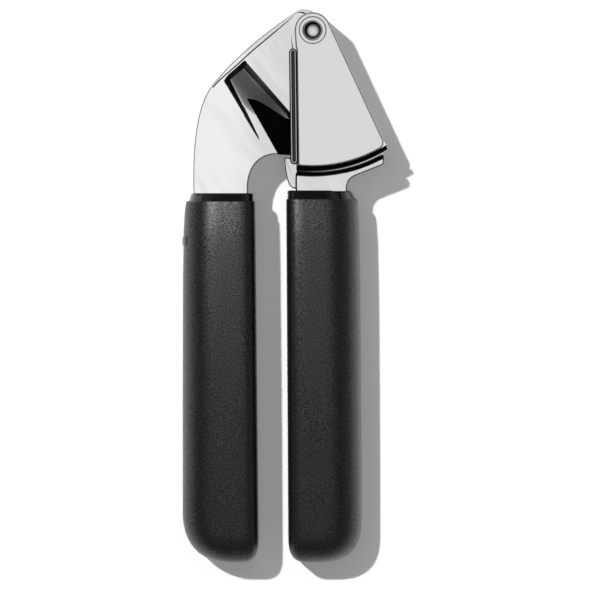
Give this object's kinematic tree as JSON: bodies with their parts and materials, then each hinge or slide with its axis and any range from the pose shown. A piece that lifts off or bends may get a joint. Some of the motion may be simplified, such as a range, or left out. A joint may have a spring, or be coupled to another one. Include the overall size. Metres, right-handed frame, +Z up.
{
  "type": "garlic press",
  "caption": "Hinged hand press: a perforated fan-shaped hopper on one arm, a plunger on the other, and long soft dark grips side by side.",
  "frame": {"origin": "centre of the bounding box's underside: the surface the press lies on", "axes": "+Z up along the pivot axis, +Y along the press from the grips to the head, +X from the lever to the hopper arm"},
  "size_m": [0.0664, 0.1782, 0.03],
  "materials": {
    "satin_steel": "brushed stainless steel",
    "chrome": "polished chrome plate",
    "satin_chrome": "chrome-plated casting, lightly satined",
    "pin_steel": "ground steel pin",
    "nylon": "natural nylon",
    "bronze": "sintered bronze",
    "gloss_black": "gloss moulded plastic",
    "soft_black": "soft rubber with a fine grain"
  },
  "bodies": {
    "hopper_side": {"front_cheek": "satin_steel", "rear_cheek": "satin_steel", "mouth_rails": "chrome", "hopper_wall": "chrome", "cheek_dowels": "pin_steel", "screen_plate": "satin_steel", "hopper_arm": "satin_chrome", "arm_dowels": "pin_steel", "pivot_pin": "pin_steel", "pivot_washers": "satin_steel", "spacer_washers": "nylon", "right_core": "gloss_black", "right_grip": "soft_black", "right_tang_pins": "pin_steel"},
    "lever_side": {"pivot_bush": "bronze", "press_lever": "satin_chrome", "plunger_block": "chrome", "plunger_screws": "pin_steel", "left_core": "gloss_black", "left_grip": "soft_black", "left_tang_pins": "pin_steel", "grip_badge": "gloss_black"}
  },
  "joints": [
    {"name": "lever_swing", "type": "hinge", "parent": "hopper_side", "child": "lever_side", "pos_m": [0.00871, 0.0824, 0.015], "axis": [0, 0, -1], "range_deg": [0, 195]}
  ]
}
